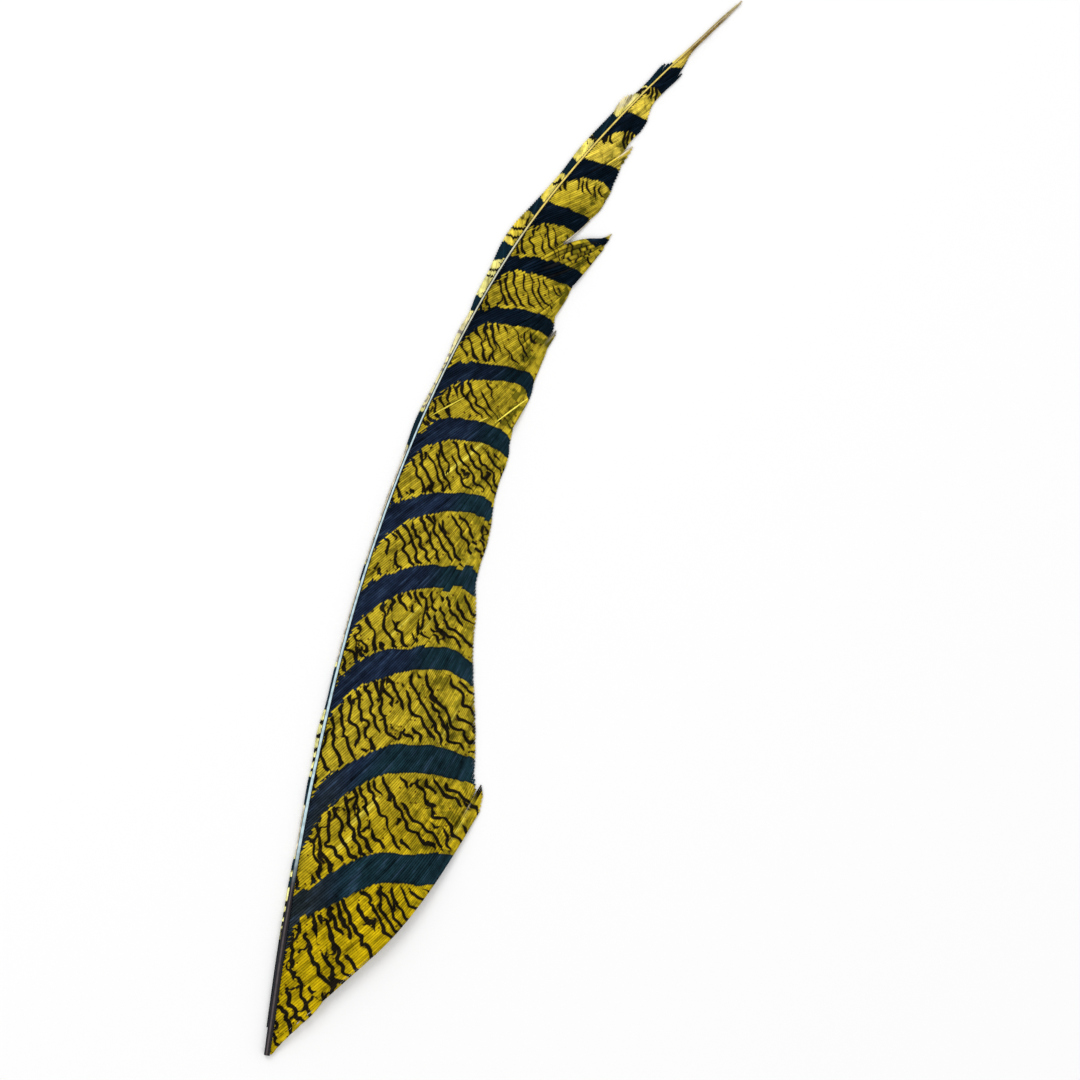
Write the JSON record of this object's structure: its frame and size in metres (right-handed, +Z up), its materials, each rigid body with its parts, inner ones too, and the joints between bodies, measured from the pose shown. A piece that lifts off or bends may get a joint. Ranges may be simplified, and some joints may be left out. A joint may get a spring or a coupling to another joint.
{
  "type": "pheasant tail feather",
  "caption": "Long tail feather with a bowed shaft, a narrow folded vane, a broad cross-barred vane parted into locks and a fine whisker tip, lying on its underside.",
  "frame": {"origin": "middle of the feather's box on the plan, at the surface it lies on", "axes": "+Y from the cut quill end to the whisker tip, +X towards the broad vane, +Z up, square to the surface"},
  "size_m": [0.0665, 0.3499, 0.0046],
  "materials": {
    "feather": "satin barbs dyed golden yellow, with blue-black cross bars and fine wavy black lines"
  },
  "bodies": {
    "root": {"feather": "feather"}
  },
  "joints": []
}
